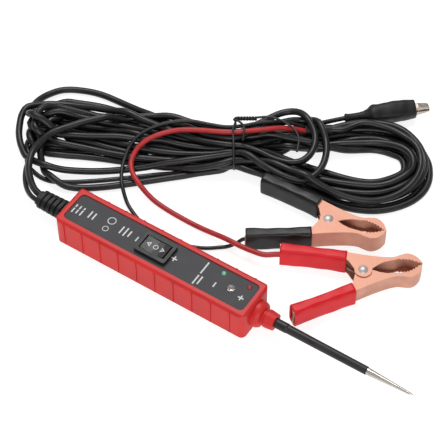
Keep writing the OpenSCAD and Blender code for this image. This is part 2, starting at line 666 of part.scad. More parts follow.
upper_case();
bottom_cover();
case_screws();
face_label();
switch_housing();
rocker_button();
rocker_pin();
switch_terminals();
circuit_board();
negative_led();
positive_led();
lamp();
led_legs();
buzzer();
circuit_breaker();
power_transistors();
small_components();
probe_socket();
probe_collar();
probe_rod();
probe_sleeve();
strain_relief();
cable_clamp();
clamp_screws();
internal_wires();
red_fixed_arm();
red_moving_arm();
red_rivet();
red_spring();
red_fixed_sleeve();
red_moving_sleeve();
red_crimp();
black_fixed_arm();
black_moving_arm();
black_rivet();
black_spring();
black_fixed_sleeve();
black_moving_sleeve();
black_crimp();
ground_fixed_jaw();
ground_moving_jaw();
ground_pin();
ground_spring();
ground_boot();
power_cable();
ground_lead();
ground_lead_end();
cable_hank();
red_lead();
black_lead();
cable_splitter();
twist_tie();
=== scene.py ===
"""The looks of the circuit test light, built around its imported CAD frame.

Everything is in metres in the row frame at the end. The hank of cable is worked out in
millimetres in its own plan: u runs along the bundle, v across it, z up, and the tie is at u = 0.
"""

import math

import bpy
import numpy as np
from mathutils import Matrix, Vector


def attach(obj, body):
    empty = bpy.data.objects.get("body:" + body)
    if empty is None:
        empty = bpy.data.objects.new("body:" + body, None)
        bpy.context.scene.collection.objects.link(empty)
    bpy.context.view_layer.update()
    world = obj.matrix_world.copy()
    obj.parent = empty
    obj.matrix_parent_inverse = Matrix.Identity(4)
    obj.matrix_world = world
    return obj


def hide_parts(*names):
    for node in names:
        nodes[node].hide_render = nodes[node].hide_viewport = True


MM = 0.001
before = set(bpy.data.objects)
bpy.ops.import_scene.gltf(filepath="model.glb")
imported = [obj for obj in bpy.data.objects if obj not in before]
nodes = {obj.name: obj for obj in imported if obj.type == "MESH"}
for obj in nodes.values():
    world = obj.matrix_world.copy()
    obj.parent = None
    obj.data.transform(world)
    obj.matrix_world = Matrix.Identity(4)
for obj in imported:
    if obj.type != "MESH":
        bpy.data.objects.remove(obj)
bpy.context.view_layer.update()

# ---------------------------------------------------------------- camera, floor and lights
CAMERA_AT = (0.3073, -0.4668, 0.7880)
CAMERA_TURN = (math.radians(38), 0, math.radians(33.03))
LENS_MM = 136.5
SENSOR_MM = 36
FLOOR_HALF = 6
FLOOR_GLOW = 0.82
SKY_STRENGTH = 0.42
AIM = (-0.02, 0.05, 0)


def make_camera():
    """The camera at the photo's viewing angle."""
    camera = bpy.data.objects.new("camera", bpy.data.cameras.new("camera"))
    camera.data.lens = LENS_MM
    camera.data.sensor_width = SENSOR_MM
    camera.location = CAMERA_AT
    camera.rotation_euler = CAMERA_TURN
    bpy.context.scene.collection.objects.link(camera)
    bpy.context.scene.camera = camera


def area_light(name, at, size, power):
    """A round soft light that faces the object."""
    light = bpy.data.lights.new(name, "AREA")
    light.shape = "DISK"
    light.size = size
    light.energy = power
    lamp_object = bpy.data.objects.new(name, light)
    lamp_object.location = at
    lamp_object.rotation_euler = (Vector(AIM) - Vector(at)).to_track_quat("-Z", "Y").to_euler()
    bpy.context.scene.collection.objects.link(lamp_object)


def make_studio():
    """A plain pale floor, an even white surround and two soft lights."""
    mesh = bpy.data.meshes.new("floor")
    half = FLOOR_HALF
    corners = [(-half, -half, 0), (half, -half, 0), (half, half, 0), (-half, half, 0)]
    mesh.from_pydata(corners, [], [(0, 1, 2, 3)])
    floor = bpy.data.objects.new("floor", mesh)
    bpy.context.scene.collection.objects.link(floor)
    floor.data.materials.append(surface("floor_white", (0.34, 0.34, 0.34), (0.36, 0.36, 0.36), 3, (0.7, 0.8),
                                        specular=0.1, emission=((1, 1, 1), FLOOR_GLOW)))
    world = bpy.data.worlds.new("studio")
    world.use_nodes = True
    world.node_tree.nodes["Background"].inputs["Color"].default_value = (1, 1, 1, 1)
    world.node_tree.nodes["Background"].inputs["Strength"].default_value = SKY_STRENGTH
    bpy.context.scene.world = world
    area_light("key", (-0.35, 0.45, 1.1), 0.6, 9)
    area_light("fill", (0.6, -1.0, 0.7), 0.9, 8)
    bpy.context.scene.view_settings.view_transform = "Standard"


# ---------------------------------------------------------------- materials
RAMP_ENDS = (0.35, 0.65)
ROUGH_ENDS = (0.3, 0.7)
BUMP_DEPTH = 0.0002
COAT_ROUGHNESS = 0.15


def surface(name, dark, light, scale, rough, bump=0.0, bump_scale=900, metallic=0.0, coat=0.0, specular=0.5,
            emission=None, transmission=0.0, stretch=(1, 1, 1)):
    """A material whose colour drifts from dark to light and whose roughness drifts over a range."""
    m = bpy.data.materials.new(name)
    m.use_nodes = True
    tree, made = m.node_tree.links, m.node_tree.nodes
    shader = made["Principled BSDF"]
    place = made.new("ShaderNodeTexCoord")
    turn = made.new("ShaderNodeMapping")
    turn.inputs["Scale"].default_value = stretch
    tree.new(place.outputs["Object"], turn.inputs["Vector"])
    noise = made.new("ShaderNodeTexNoise")
    noise.inputs["Scale"].default_value = scale
    noise.inputs["Detail"].default_value = 4
    tree.new(turn.outputs["Vector"], noise.inputs["Vector"])
    ramp = made.new("ShaderNodeValToRGB")
    ramp.color_ramp.elements[0].position = RAMP_ENDS[0]
    ramp.color_ramp.elements[1].position = RAMP_ENDS[1]
    ramp.color_ramp.elements[0].color = (*dark, 1)
    ramp.color_ramp.elements[1].color = (*light, 1)
    tree.new(noise.outputs["Fac"], ramp.inputs["Fac"])
    tree.new(ramp.outputs["Color"], shader.inputs["Base Color"])
    spread = made.new("ShaderNodeMapRange")
    spread.inputs["From Min"].default_value = ROUGH_ENDS[0]
    spread.inputs["From Max"].default_value = ROUGH_ENDS[1]
    spread.inputs["To Min"].default_value = rough[0]
    spread.inputs["To Max"].default_value = rough[1]
    tree.new(noise.outputs["Fac"], spread.inputs["Value"])
    tree.new(spread.outputs["Result"], shader.inputs["Roughness"])
    if bump:
        grain = made.new("ShaderNodeTexNoise")
        grain.inputs["Scale"].default_value = bump_scale
        grain.inputs["Detail"].default_value = 3
        tree.new(turn.outputs["Vector"], grain.inputs["Vector"])
        lift = made.new("ShaderNodeBump")
        lift.inputs["Strength"].default_value = bump
        lift.inputs["Distance"].default_value = BUMP_DEPTH
        tree.new(grain.outputs["Fac"], lift.inputs["Height"])
        tree.new(lift.outputs["Normal"], shader.inputs["Normal"])
    shader.inputs["Metallic"].default_value = metallic
    shader.inputs["Coat Weight"].default_value = coat
    shader.inputs["Coat Roughness"].default_value = COAT_ROUGHNESS
    shader.inputs["Specular IOR Level"].default_value = specular
    shader.inputs["Transmission Weight"].default_value = transmission
    if emission:
        shader.inputs["Emission Color"].default_value = (*emission[0], 1)
        shader.inputs["Emission Strength"].default_value = emission[1]
    return m


# ---------------------------------------------------------------- the hank and the leads
HANK_AT = (-51.8, 95.5)
HANK_TURN = math.radians(33)
POWER_D = 4.3
GROUND_D = 3.0
RED_D = 3.2
BLACK_D = 2.4
TIE_R = 0.6
TIE_CENTRE = (-0.5, 11.2)
TIE_SIZE = (16.2, 10.6)
RELIEF_END_X = -125.8
AXIS_Z = 10.3
POWER_Y = 1.9
GROUND_Y = -2.35
CORD_STARTS = (-97.5, -112, RELIEF_END_X - 0.5)
GROUND_AT = (111, 33.4)
GROUND_Z = 6.5
GROUND_TURN = math.radians(10)
BOOT_MOUTH = 1
BOOT_L = 44
SPLITTER_AT = (52, 13, 10.2)
SPLITTER_L = 16
SPLITTER_D = 6.6

# The routes' points in the hank's plan. The tie's two ends are TIE_TAIL and TIE_SHORT
POWER_ROUTE = [(-118, -32, 10), (-120.5, -25, 9.5), (-122, -18, 9), (-122, -11, 9), (-121, -5, 9.5)]
OVER_ROUTE = [(-118, 0, 11), (-114, 4, 13), (-108, 8, 14.5), (-98, 12, 15), (-88, 15.5, 15.5),
              (-76, 19.5, 15)]
GROUND_ROUTE = [(-120, -36, 8.5), (-122.5, -30, 7), (-124, -23.5, 6), (-124.5, -17, 5.5), (-124, -11, 5),
                (-122, -5, 3.5)]
GROUND_END_ROUTE = [(46, 19, 8.5), (52, 21, 7), (58, 23, 6.5), (63.5, 24.5, 6.5)]
RED_ROUTE = [(44, 11.6, 10.8), (36, 10.3, 14.5), (28, 8.3, 17.3), (20, 6.5, 18.3), (10, 4.6, 19),
             (0, 3.4, 19.2), (-10, 4, 19.1), (-20, 5.5, 18.6), (-30, 6.5, 17.8), (-38, 6, 16.8),
             (-46, 4, 15.5), (-53, 1, 13.5), (-58, -3.5, 11), (-61, -10, 8.5), (-60.5, -17, 7.3),
             (-57.5, -23.5, 6.5), (-53, -29.5, 4.5), (-47.5, -35, 2.4), (-41, -40.5, 1.7),
             (-33, -46.5, 1.6), (-25, -52, 1.6), (-17, -57.5, 2.4), (-9.5, -63, 4.4), (-3, -68, 6.2),
             (4, -73, 6.9), (11, -76.8, 7.1), (18, -79.5, 7.1)]
BLACK_ROUTE = [(44, 15, 10.8), (35, 15.2, 14), (26, 13.8, 16.8), (16, 12, 17.8), (6, 9.5, 18),
               (-4, 8.5, 18.1), (-14, 10.5, 18), (-24, 13, 18), (-33, 13.5, 17.5), (-42, 12.4, 16.5),
               (-50, 9.8, 15), (-57, 5.5, 13.3), (-62, -0.5, 11), (-65, -8, 8.7), (-66.5, -16, 7.2),
               (-66.5, -24, 6.4), (-65, -31, 4.4), (-62.5, -38, 2), (-58.5, -45, 1.3),
               (-53.5, -52, 1.2), (-47.5, -58, 1.2), (-40, -63, 1.2), (-32, -67, 1.2),
               (-24, -69.3, 1.2), (-16, -70.3, 1.2), (-9, -69.9, 1.3), (-3.5, -69.3, 1.5),
               (1.8, -68.4, 3.4)]
TIE_TAIL = [(38, -10, 17), (39.3, -3, 17.5), (39, 1.5, 17.9), (37, 6, 18.4), (33, 10, 19), (28, 13, 19.6),
            (22, 15, 20), (15, 15.5, 20.2), (7, 14, 20.4)]
TIE_SHORT = [(5.8, 7.6, 21.2), (6.6, 4, 21.5), (6.4, 0.6, 20.6), (5.8, -2.8, 18.6)]

# One end of each turn: how far it reaches, its upper and lower arm, and the length of its round end
POWER_RIGHT = [(51, 25, -14, 15), (57.5, 19, -26.5, 16), (106, 6, -23, 26), (115, 17, -36, 32),
               (117, 14, -43, 36), (109, 9, -27, 27), (113, 16, -33, 32), (107, 12, -30, 27)]
POWER_LEFT = [(-130, 33, -15, 24), (-126, 54, 6, 25), (-121, 28, 5, 16), (-124, 24, 8, 13),
              (-121, 28, -26, 27), (-117, 40, 7, 17), (-122, 24, 6, 13), (-125, 20, 3, 12)]
LAST_RIGHT = (111.5, 19.5, -40, 33)
GROUND_RIGHT = [(112, 18, -34, 30), (109, 12, -27, 27), (115, 14, -41, 34)]
GROUND_LEFT = [(-124, 24, -21, 22), (-117, 24, 7, 12), (-122, 26, 4, 14)]

# How a turn's arm goes out to its round end, and how the turns share the waist
ARM_SHARES = (0.15, 0.35, 0.55, 0.8)
ROUND_POINTS = 9
GOLDEN = 0.618

# Where the turns cross the waist: the first small loop, then the lanes above and below the middle
SMALL_LOOP = (9.5, -4)
FIRST_LANE = -2
POWER_LANES = (1, -2)
GROUND_LANES = (2, -3)
POWER_SPREAD = 11
GROUND_SPREAD = 10
GROUND_SKIP = 8
GROUND_OUT = [(14, 14), (30, 17)]
OVER_TOP = [(-64, 23), (-49, 22.5), (-32, 18), (-13, 12)]

# Spacing of the points in millimetres: the settling cords, and the solids that they settle on
STEP = 6.0
SOLID_STEP = 5.0

# The levels that the cords fall from, and the stretches of the power cable that lie over the rest
POWER_LEVELS = (64, 18)
GROUND_LEVELS = (2, 14)
TAIL_LEVELS = (18, 80)
TAIL_RISE = 8
TAIL_L = 215
START_L = 190
SMALL_LOOPS_L = 1050
SMALL_LOOPS_U = 38


def to_hank(points):
    """Row millimetres to the hank's plan."""
    p = np.array(points, float).reshape(-1, 3)
    c, s = math.cos(HANK_TURN), math.sin(HANK_TURN)
    x, y = p[:, 0] - HANK_AT[0], p[:, 1] - HANK_AT[1]
    return np.column_stack([c * x + s * y, -s * x + c * y, p[:, 2]])


def to_row(points):
    """The hank's plan to row metres."""
    p = np.array(points, float).reshape(-1, 3)
    c, s = math.cos(HANK_TURN), math.sin(HANK_TURN)
    return MM * np.column_stack([HANK_AT[0] + c * p[:, 0] - s * p[:, 1],
                                 HANK_AT[1] + s * p[:, 0] + c * p[:, 1], p[:, 2]])


def smooth_line(points, step):
    """A curve through the points, resampled to even steps."""
    p = np.array(points, float)
    before = np.vstack([2 * p[0] - p[1], p[:-2], p[-2:-1]])[: len(p) - 1]
    after = np.vstack([p[2:], 2 * p[-1] - p[-2]])
    fine = []
    for a, b, c, d in zip(before, p[:-1], p[1:], after):
        for t in np.linspace(0, 1, 9)[:-1]:
            fine.append(0.5 * (2 * b + (c - a) * t + (2 * a - 5 * b + 4 * c - d) * t ** 2
                               + (3 * b - a - 3 * c + d) * t ** 3))
    fine = np.array(fine + [p[-1]])
    along = np.concatenate([[0], np.cumsum(np.linalg.norm(np.diff(fine, axis=0), axis=1))])
    even = np.linspace(0, along[-1], max(2, int(round(along[-1] / step)) + 1))
    return np.column_stack([np.interp(even, along, fine[:, k]) for k in range(fine.shape[1])])


def half_turn(reach, top, bottom, cap, slot_top, slot_bottom):
    """The plan of one end of a turn, from the waist's upper side round to its lower side."""
    side = math.copysign(1, reach)
    end = reach - side * cap
    middle, half = (top + bottom) / 2, (top - bottom) / 2

    def arm(slot, level):
        points = []
        for share in ARM_SHARES:
            ease = share * share * (3 - 2 * share)
            points.append((end * share, slot + (level - slot) * ease))
        return points

    angles = np.radians(np.linspace(90, -90, ROUND_POINTS))
    round_end = [(end + side * cap * math.cos(a), middle + half * math.sin(a)) for a in angles]
    return arm(slot_top, top) + round_end + arm(slot_bottom, bottom)[::-1]


def slots(count, spread):
    """Places across the waist, spread evenly but in mixed order."""
    return [spread * ((0.5 + GOLDEN * i) % 1) for i in range(count)]


def power_plan():
    """Round a small loop at the tie, then the turns anticlockwise, then round to the splitter."""
    up, down = slots(len(POWER_RIGHT), POWER_SPREAD), slots(len(POWER_RIGHT) + 1, POWER_SPREAD)
    high, low = POWER_LANES
    line = [(0, SMALL_LOOP[0])] + half_turn(*POWER_RIGHT[0], *SMALL_LOOP) + [(0, SMALL_LOOP[1])]
    for i, left in enumerate(POWER_LEFT):
        line += half_turn(*left, up[i] + high if i else FIRST_LANE, -down[i] + low)
        line.append((0, -down[i] + low))
        if i + 1 < len(POWER_RIGHT):
            line += half_turn(*POWER_RIGHT[i + 1], up[i + 1] + high, -down[i] + low)[::-1]
            line.append((0, up[i + 1] + high))
    last = half_turn(*LAST_RIGHT, 0, -down[-1] + low)[::-1]
    return line + last[:-len(ARM_SHARES)]


def ground_plan():
    """From part of the way round the left end, clockwise round the turns, to the tie."""
    up, down = slots(len(GROUND_RIGHT) + 1, GROUND_SPREAD), slots(len(GROUND_RIGHT), GROUND_SPREAD)
    high, low = GROUND_LANES
    line = half_turn(*GROUND_LEFT[0], up[0] + high, 0)[::-1][GROUND_SKIP:]
    for i, right in enumerate(GROUND_RIGHT):
        line.append((0, up[i] + high))
        line += half_turn(*right, up[i] + high, -down[i] + low)
        line.append((0, -down[i] + low))
        left = GROUND_LEFT[(i + 1) % len(GROUND_LEFT)]
        line += half_turn(*left, up[i + 1] + high, -down[i] + low)[::-1]
    return line + [(0, up[-1] + high)] + GROUND_OUT


def planned(start, plan, end, levels, d):
    """A cord before it settles: fixed points, the plan from one level to another, fixed points."""
    first = smooth_line(start, STEP)
    last = smooth_line(end, STEP)
    flat = smooth_line([tuple(first[-1][:2])] + list(plan) + [tuple(last[0][:2])], STEP)[1:-1]
    level = np.linspace(*levels, len(flat))
    free = np.column_stack([flat, level])
    points = np.vstack([first, free, last])
    fixed = np.ones(len(points), bool)
    fixed[len(first):len(first) + len(free)] = False
    return {"at": points, "fixed": fixed, "r": np.full(len(points), d / 2)}


def nearest(p, q, a, b):
    """The nearest points of segments p-q and a-b, as shares along each."""
    d1, d2, gap = q - p, b - a, p - a
    l1, l2 = (d1 * d1).sum(1), (d2 * d2).sum(1)
    m, n, c = (d1 * d2).sum(1), (d2 * gap).sum(1), (d1 * gap).sum(1)
    cross = l1 * l2 - m * m
    s = np.clip(np.where(cross > 1e-6, (m * n - c * l2) / np.maximum(cross, 1e-6), 0.5), 0, 1)
    t = (m * s + n) / np.maximum(l2, 1e-9)
    s = np.where(t < 0, np.clip(-c / np.maximum(l1, 1e-9), 0, 1), s)
    s = np.where(t > 1, np.clip((m - c) / np.maximum(l1, 1e-9), 0, 1), s)
    return s, np.clip(t, 0, 1)


def near_pairs(at, first, owner, reach, block=400, neighbours=3):
    """Pairs of segments that may touch, by their middles, apart from near neighbours along one cord."""
    middle = (at[first] + at[first + 1]) / 2
    found = []
    for i in range(0, len(first), block):
        d = np.linalg.norm(middle[i:i + block, None] - middle[None], axis=2)
        a, b = np.nonzero(d < reach)
        a = a + i
        keep = (a < b) & ((owner[a] != owner[b]) | (b - a > neighbours))
        found.append(np.column_stack([a[keep], b[keep]]))
    return np.vstack(found)


# How the cords settle: one value for each stage, while they fall, while they settle and while they calm down
ROUNDS = 520
FALL_UNTIL = 0.7
CALM_FROM = 0.88
DROP = (0.5, 0.12, 0.03)
PLAN_PULL = (0.05, 0.03, 0)
BEND_PULL = (0.3, 0.3, 0.08)
SWEEP_PULL = (0.12, 0.12, 0.02)
LINK_PULL = (0.5, 0.9, 0.9)
PASSES = (3, 3, 6)
PUSH = 0.9
LEAST_TOTAL = 0.25
COUNTED_SHARE = 0.05
ROOF_STEP = 0.5
SWEEP_SPAN = 3
SEARCH_EVERY = 6
SEARCH_EXTRA = 4
SEARCH_SHARE = 0.6
SHARED_PUSH = 0.5

# The lower and upper sides of the right-hand end, where other parts lie close by
SIDE_FROM, SIDE_TO = 62, 97
LOWER_EDGE = -43.6
UPPER_EDGE = 22
UPPER_FROM = 66

# The tie's opening, which starts tall and closes
WAIST = 5.0
WAIST_CENTRE = (-0.5, 9.2)
WAIST_HALF = (15.6, 8.4)
OPEN_AT_FIRST = 70


def settle(cords, solids, roofs, rounds):
    """Lets the cords drop and push each other apart. solids are fixed lines of points and radii."""
    at = np.vstack([c["at"] for c in cords] + [s[0] for s in solids])
    r = np.concatenate([c["r"] for c in cords] + [s[1] for s in solids])
    sizes = [len(c["at"]) for c in cords] + [len(s[0]) for s in solids]
    starts = np.concatenate([[0], np.cumsum(sizes)])
    ends = list(zip(starts[:len(cords)], starts[1:]))
    soft = starts[len(cords)]
    free = np.zeros(len(at))
    free[:soft] = ~np.concatenate([c["fixed"] for c in cords])
    over = np.zeros(len(at), bool)
    over[:soft] = np.concatenate([c.get("over", np.zeros(len(c["at"]), bool)) for c in cords])
    lid = np.concatenate([c["fixed"] & c.get("lid", False) for c in cords]
                         + [np.full(len(s[0]), s[2]) for s in solids])
    first = np.concatenate([np.arange(a, b - 1) for a, b in zip(starts, starts[1:])])
    owner = np.repeat(np.arange(len(sizes)), [n - 1 for n in sizes])
    links = first[first < soft]
    plan = at[:, :2].copy()
    rest = np.linalg.norm(plan[links + 1] - plan[links], axis=1)
    steep = (free[links] == 0) & (free[links + 1] == 0)
    rest[steep] = np.linalg.norm(at[links + 1] - at[links], axis=1)[steep]
    inner, bend = own_curve(plan, ends, 1)
    wide, sweep = own_curve(plan, ends, SWEEP_SPAN)
    roof_at = np.vstack([s[0] for s in roofs])
    roof_r = np.concatenate([s[1] for s in roofs])
    for step in range(rounds):
        share = step / rounds
        stage = 0 if share < FALL_UNTIL else 2 if share > CALM_FROM else 1
        at[:, 2] -= free * DROP[stage]
        at[:, :2] += (free * PLAN_PULL[stage])[:, None] * (plan - at[:, :2])
        pull = (at[inner - 1] + at[inner + 1]) / 2 - at[inner] - bend[inner]
        at[inner] += (BEND_PULL[stage] * free[inner])[:, None] * pull
        pull = (at[wide - SWEEP_SPAN] + at[wide + SWEEP_SPAN]) / 2 - at[wide] - sweep[wide]
        at[wide] += (SWEEP_PULL[stage] * free[wide])[:, None] * pull
        keep_lengths(at, free, links, rest, LINK_PULL[stage])
        if step % SEARCH_EVERY == 0:
            i, j = touching(at, r, free, first, owner, over, lid, soft, stage == 0)
        push_apart(at, r, free, i, j, PASSES[stage])
        squeeze(at, r, free, share)
        if stage:
            under_roof(at, r, free, over, roof_at, roof_r)
        stay_clear(at, r, free)
    for c, a, b in zip(cords, starts, starts[1:]):
        c["at"] = at[a:b]


def own_curve(plan, ends, span):
    """The points with neighbours a span away on both sides, and how far each plan bends there."""
    k = np.concatenate([np.arange(a + span, b - span) for a, b in ends])
    curve = np.zeros((len(plan), 3))
    curve[k, :2] = (plan[k - span] + plan[k + span]) / 2 - plan[k]
    return k, curve


def keep_lengths(at, free, links, rest, strength):
    """Pulls each link of a cord back to its own length, every second link at a time."""
    for half in (0, 1, 0, 1):
        k = links[half::2]
        gap = at[k + 1] - at[k]
        long = np.linalg.norm(gap, axis=1)
        weight = free[k] + free[k + 1]
        push = gap * ((long - rest[half::2]) / np.maximum(long, 1e-6) / np.maximum(weight, 1))[:, None]
        push *= strength
        at[k] += push * free[k][:, None]
        at[k + 1] -= push * free[k + 1][:, None]


def touching(at, r, free, first, owner, over, lid, soft, falling):
    """The links that may touch. Solids are passed through while falling, and lids only push down."""
    pairs = near_pairs(at, first, owner, STEP + 2 * r.max() * SEARCH_SHARE + SEARCH_EXTRA)
    i, j = first[pairs[:, 0]], first[pairs[:, 1]]
    live = (free[i] + free[i + 1] + free[j] + free[j + 1]) > 0
    lid_i, lid_j = lid[i] & lid[i + 1], lid[j] & lid[j + 1]
    solid = lid_i | lid_j | (i >= soft) | (j >= soft)
    other = np.where(lid_j, i, j)
    below = np.where(lid_j, at[i, 2] < at[j, 2], at[j, 2] < at[i, 2]) | ~(lid_i | lid_j)
    live &= ~solid | over[other] | over[other + 1] | ((not falling) & below)
    return i[live], j[live]


def push_apart(at, r, free, i, j, passes):
    """Moves links that overlap away from each other."""
    for _ in range(passes):
        s, t = nearest(at[i], at[i + 1], at[j], at[j + 1])
        a = at[i] + (at[i + 1] - at[i]) * s[:, None]
        b = at[j] + (at[j + 1] - at[j]) * t[:, None]
        gap = b - a
        long = np.linalg.norm(gap, axis=1)
        want = r[i] * (1 - s) + r[i + 1] * s + r[j] * (1 - t) + r[j + 1] * t
        deep = want - long
        hit = deep > 0
        if not hit.any():
            break
        h, g = i[hit], j[hit]
        s, t = s[hit], t[hit]
        way = gap[hit] / np.maximum(long[hit], 1e-4)[:, None]
        weights = [free[h] * (1 - s), free[h + 1] * s, free[g] * (1 - t), free[g + 1] * t]
        total = sum(w * w2 for w, w2 in zip(weights, [1 - s, s, 1 - t, t]))
        move = way * (PUSH * deep[hit] / np.maximum(total, LEAST_TOTAL))[:, None]
        shift, count = np.zeros_like(at), np.zeros(len(at))
        for index, w, sign in ((h, weights[0], -1), (h + 1, weights[1], -1), (g, weights[2], 1),
                               (g + 1, weights[3], 1)):
            np.add.at(shift, index, sign * move * w[:, None])
            np.add.at(count, index, (w > COUNTED_SHARE).astype(float))
        at += shift / np.maximum(1, SHARED_PUSH * count)[:, None]


def stay_clear(at, r, free):
    """Keeps the cords on the floor and off the parts beside the right-hand end."""
    loose = free > 0
    at[loose, 2] = np.maximum(at[loose, 2], r[loose])
    beside = loose & (at[:, 0] > SIDE_FROM) & (at[:, 0] < SIDE_TO)
    at[beside, 1] = np.maximum(at[beside, 1], LOWER_EDGE)
    at[beside, 1] = np.where(at[beside, 0] > UPPER_FROM, np.minimum(at[beside, 1], UPPER_EDGE), at[beside, 1])


def squeeze(at, r, free, share):
    """The tie: cords within it stay in an oval that closes as they settle."""
    k = np.nonzero((np.abs(at[:, 0]) < WAIST) & (free > 0))[0]
    wide = WAIST_HALF[0] - r[k]
    tall = WAIST_HALF[1] - r[k] + OPEN_AT_FIRST * max(0, 1 - share / FALL_UNTIL)
    centre = WAIST_CENTRE[1] + tall - (WAIST_HALF[1] - r[k])
    v, z = (at[k, 1] - WAIST_CENTRE[0]) / wide, (at[k, 2] - centre) / tall
    out = np.maximum(1, np.hypot(v, z))
    at[k, 1] = WAIST_CENTRE[0] + v / out * wide
    at[k, 2] = centre + z / out * tall


def under_roof(at, r, free, over, roof_at, roof_r):
    """Cords pass below the leads and the splitter, apart from those that lie over them."""
    k = np.nonzero((free > 0) & ~over)[0]
    d = np.linalg.norm(at[k, None, :2] - roof_at[None, :, :2], axis=2)
    j = d.argmin(1)
    d = d.min(1)
    touch = r[k] + roof_r[j]
    near = d < touch
    ceiling = roof_at[j, 2] - np.sqrt(np.maximum(touch ** 2 - d ** 2, 0))
    excess = np.clip(at[k, 2] - ceiling, 0, ROOF_STEP)
    at[k[near], 2] -= excess[near]


def solid_line(points, d, roof):
    """A fixed line of points and radii. A roof also presses the cords below it down."""
    line = smooth_line(points, SOLID_STEP)
    return line, np.full(len(line), d / 2), roof


# Stations along the boot and its radius at each
BOOT_BODY = [(-43, 3.0), (-33, 3.2), (-26, 5.6), (-22, 6.3), (-9, 6.3), (-1, 5.6)]

# Where the cords end: the ground lead's points from the boot's end, the power cable's from the splitter's
BOOT_ENDS = (BOOT_MOUTH - BOOT_L - 0.5, BOOT_MOUTH - BOOT_L + 9)
BEFORE_ENTRY = 7
PAST_ENTRY = 6


def hank():
    """The settled lines of the power cable and the ground lead, in the hank's plan."""
    exit_power = to_hank([(x, POWER_Y, AXIS_Z) for x in CORD_STARTS])
    exit_ground = to_hank([(x, GROUND_Y, AXIS_Z) for x in CORD_STARTS])
    entry = SPLITTER_AT[0] + SPLITTER_L / 2
    into_splitter = [(u, *SPLITTER_AT[1:]) for u in (entry + BEFORE_ENTRY, entry, entry - PAST_ENTRY)]
    boot_end = [on_boot(x) for x in BOOT_ENDS]
    power = planned(list(map(tuple, exit_power)) + POWER_ROUTE + OVER_ROUTE, OVER_TOP + power_plan(),
                    into_splitter, POWER_LEVELS, POWER_D)
    flat = power["at"][:, :2]
    run = np.cumsum(np.linalg.norm(np.diff(flat, axis=0, prepend=flat[:1]), axis=1))
    tail = (~power["fixed"]) & (run > run[-1] - TAIL_L)
    power["at"][tail, 2] = np.interp(np.arange(tail.sum()), [0, TAIL_RISE], TAIL_LEVELS)
    power["over"] = (run < START_L) | ((flat[:, 0] > SMALL_LOOPS_U) & (run < SMALL_LOOPS_L))
    power["lid"] = run < START_L
    ground = planned(list(map(tuple, exit_ground)) + GROUND_ROUTE, ground_plan(), GROUND_END_ROUTE + boot_end,
                     GROUND_LEVELS, GROUND_D)
    splitter = [(u, *SPLITTER_AT[1:]) for u in (entry - SPLITTER_L, entry)]
    leads = [solid_line(RED_ROUTE, RED_D, True), solid_line(BLACK_ROUTE, BLACK_D, True),
             solid_line(splitter, SPLITTER_D, True)]
    boot = np.array([on_boot(x) for x, _ in BOOT_BODY]), np.array([r for _, r in BOOT_BODY]), False
    roofs = leads + [solid_line(POWER_ROUTE[2:] + OVER_ROUTE, POWER_D, True)]
    settle([power, ground], leads + [boot], roofs, ROUNDS)
    return power, ground


def on_boot(x):
    """A point on the boot's axis in the hank's plan, at x in the ground clip's own plan."""
    return (GROUND_AT[0] + x * math.cos(GROUND_TURN), GROUND_AT[1] + x * math.sin(GROUND_TURN), GROUND_Z)


def tube(name, line, d, material, body="root"):
    """A round cord or wire along a line of row metres."""
    curve = bpy.data.curves.new(name, "CURVE")
    curve.dimensions = "3D"
    curve.bevel_depth = d * MM / 2
    curve.bevel_resolution = 3
    curve.use_fill_caps = True
    spline = curve.splines.new("POLY")
    spline.points.add(len(line) - 1)
    spline.points.foreach_set("co", np.column_stack([line, np.ones(len(line))]).ravel())
    spline.use_smooth = True
    piece = bpy.data.objects.new(name, curve)
    piece.data.materials.append(material)
    bpy.context.scene.collection.objects.link(piece)
    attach(piece, body)
    return piece


def cad_row(at, turn, x, y, z):
    """A point of a clip's own plan as a point of the row, in millimetres."""
    c, s = math.cos(turn), math.sin(turn)
    return (at[0] + x * c - y * s, at[1] + x * s + y * c, z)


CLIP_Z = 7.1
RED_AT = (61.4, 56.2)
RED_TURN = math.radians(40.6)
BLACK_AT = (26, 77)
BLACK_TURN = math.radians(18.5)
HANDLE_ROOT = (-7, 13.5)
HANDLE_SLOPE = math.radians(16.2)
CHANNEL_D = 4.6
LEAD_DROP = (CHANNEL_D / 2 + 0.4) / math.cos(HANDLE_SLOPE)
SLEEVE_FROM = -8
SLEEVE_TO = -43
LEAD_ENDS = (SLEEVE_TO - 0.6, SLEEVE_TO + 16)
LEAD_STEP = 2.0
CABLE_STEP = 2.5


def handle_y(x):
    """How far a handle's outer side is from a clip's middle line at x."""
    return HANDLE_ROOT[1] + (HANDLE_ROOT[0] - x) * math.tan(HANDLE_SLOPE)


def lead_line(route, at, turn, side):
    """A lead's route with its end inside a clip's sleeve; side is 1 for the upper handle."""
    ends = [cad_row(at, turn, x, side * (handle_y(x) - LEAD_DROP), CLIP_Z) for x in LEAD_ENDS]
    return to_row(smooth_line(route + [tuple(p) for p in to_hank(ends)], LEAD_STEP))


def make_cords(m):
    """The power cable, the ground lead and the two clip leads."""
    power, ground = hank()
    power_line = to_row(smooth_line(power["at"], CABLE_STEP))
    ground_line = to_row(smooth_line(ground["at"], CABLE_STEP))
    red_line = lead_line(RED_ROUTE, RED_AT, RED_TURN, 1)
    black_line = lead_line(BLACK_ROUTE, BLACK_AT, BLACK_TURN, -1)
    red = tube("red_cord", red_line, RED_D, m["red_jacket"])
    black = tube("black_cord", black_line, BLACK_D, m["black_jacket"])
    twin = tube("power_cord", power_line, POWER_D, m["cable_jacket"])
    thin = tube("ground_cord", ground_line, GROUND_D, m["cable_jacket"])
    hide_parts("power_cable", "cable_hank")
    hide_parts("ground_lead", "ground_lead_end")
    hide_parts("red_lead")
    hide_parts("black_lead")


